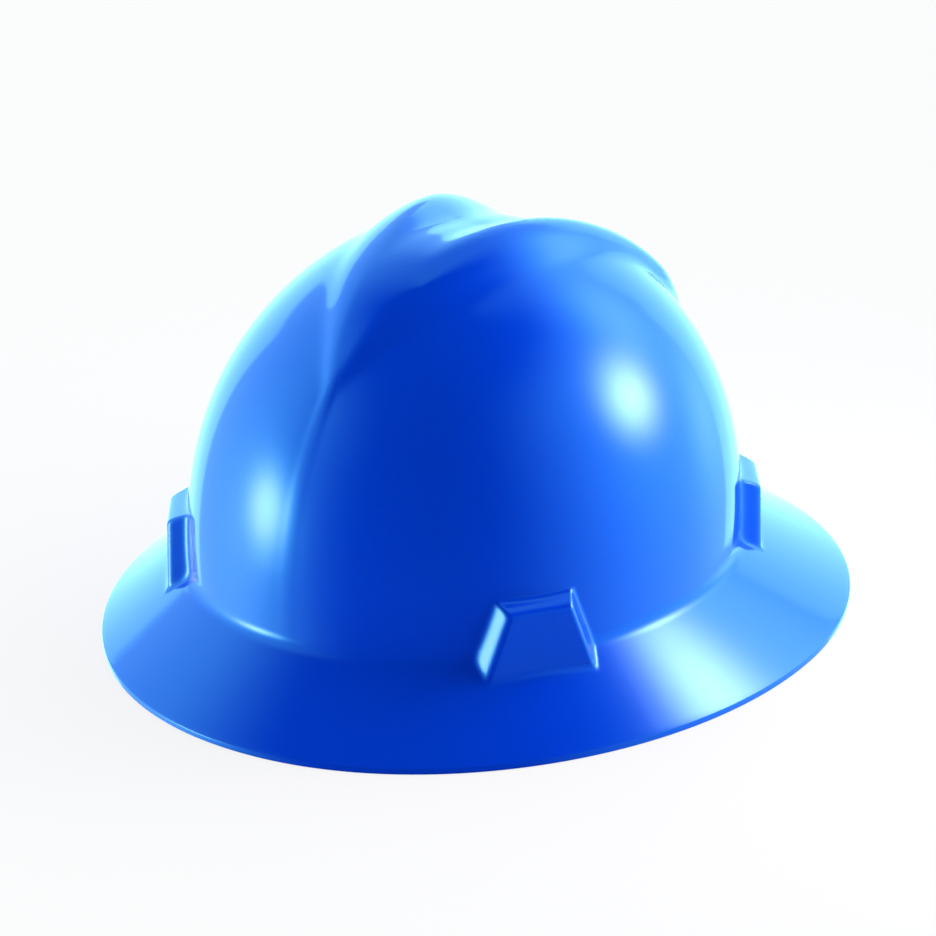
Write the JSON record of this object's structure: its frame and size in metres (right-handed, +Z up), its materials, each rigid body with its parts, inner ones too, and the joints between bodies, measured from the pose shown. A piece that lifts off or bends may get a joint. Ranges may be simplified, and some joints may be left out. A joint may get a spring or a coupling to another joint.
{
  "type": "full brim hard hat",
  "caption": "Full brim hard hat: a glossy moulded shell with a V ridge, hollow lugs and an all-round brim over a crossed-strap suspension with a nape ratchet.",
  "frame": {"origin": "centre of the footprint on the plane of the brim's rim", "axes": "+Z up through the crown, -Y towards the front, +X towards the wearer's left"},
  "size_m": [0.2868, 0.33, 0.1658],
  "materials": {
    "shell": "glossy moulded polyethylene, blue",
    "suspension": "satin moulded nylon, dark grey",
    "webbing": "woven polyester webbing, grey",
    "brow_pad": "stitched foam-backed knit",
    "grip": "soft grip rubber",
    "screw": "zinc-plated steel",
    "knob": "satin moulded acetal"
  },
  "bodies": {
    "root": {"shell": "shell", "front_left_key": "suspension", "rear_left_key": "suspension", "rear_right_key": "suspension", "front_right_key": "suspension", "crown_strap_lower": "webbing", "crown_strap_upper": "webbing", "headband": "suspension", "brow_pad": "brow_pad", "left_pivot_rivet": "knob", "right_pivot_rivet": "knob"},
    "nape": {"left_nape_strap": "suspension", "right_nape_strap": "suspension", "ratchet_housing": "suspension", "ratchet_cover": "suspension", "cover_screws": "screw", "nape_pad": "brow_pad"},
    "knob": {"drive_pinion": "knob", "click_spring": "knob", "ratchet_knob": "knob", "knob_grip": "grip", "knob_screw": "screw"},
    "left_rack": {"left_rack": "suspension"},
    "right_rack": {"right_rack": "suspension"}
  },
  "joints": [
    {"name": "nape_swing", "type": "hinge", "parent": "root", "child": "nape", "pos_m": [0, -0.002, 0.0195], "axis": [1, 0, 0], "range_deg": [-8, 7]},
    {"name": "knob_turn", "type": "hinge", "parent": "nape", "child": "knob", "pos_m": [0, 0.1, 0.0195], "axis": [0, 1, 0], "range_deg": [-91.7, 194.8]},
    {"name": "left_rack_travel", "type": "hinge", "parent": "nape", "child": "left_rack", "pos_m": [0, 0.017, 0.0195], "axis": [0, 0, -1], "range_deg": [-6.12, 13], "deforming": ["left_nape_strap"]},
    {"name": "right_rack_travel", "type": "hinge", "parent": "nape", "child": "right_rack", "pos_m": [0, 0.017, 0.0195], "axis": [0, 0, 1], "range_deg": [-5.97, 12.68], "deforming": ["right_nape_strap"]}
  ],
  "couplings": [
    {"joint": "left_rack_travel", "follows": "knob_turn", "ratio": 0.066664},
    {"joint": "right_rack_travel", "follows": "knob_turn", "ratio": 0.065017}
  ]
}
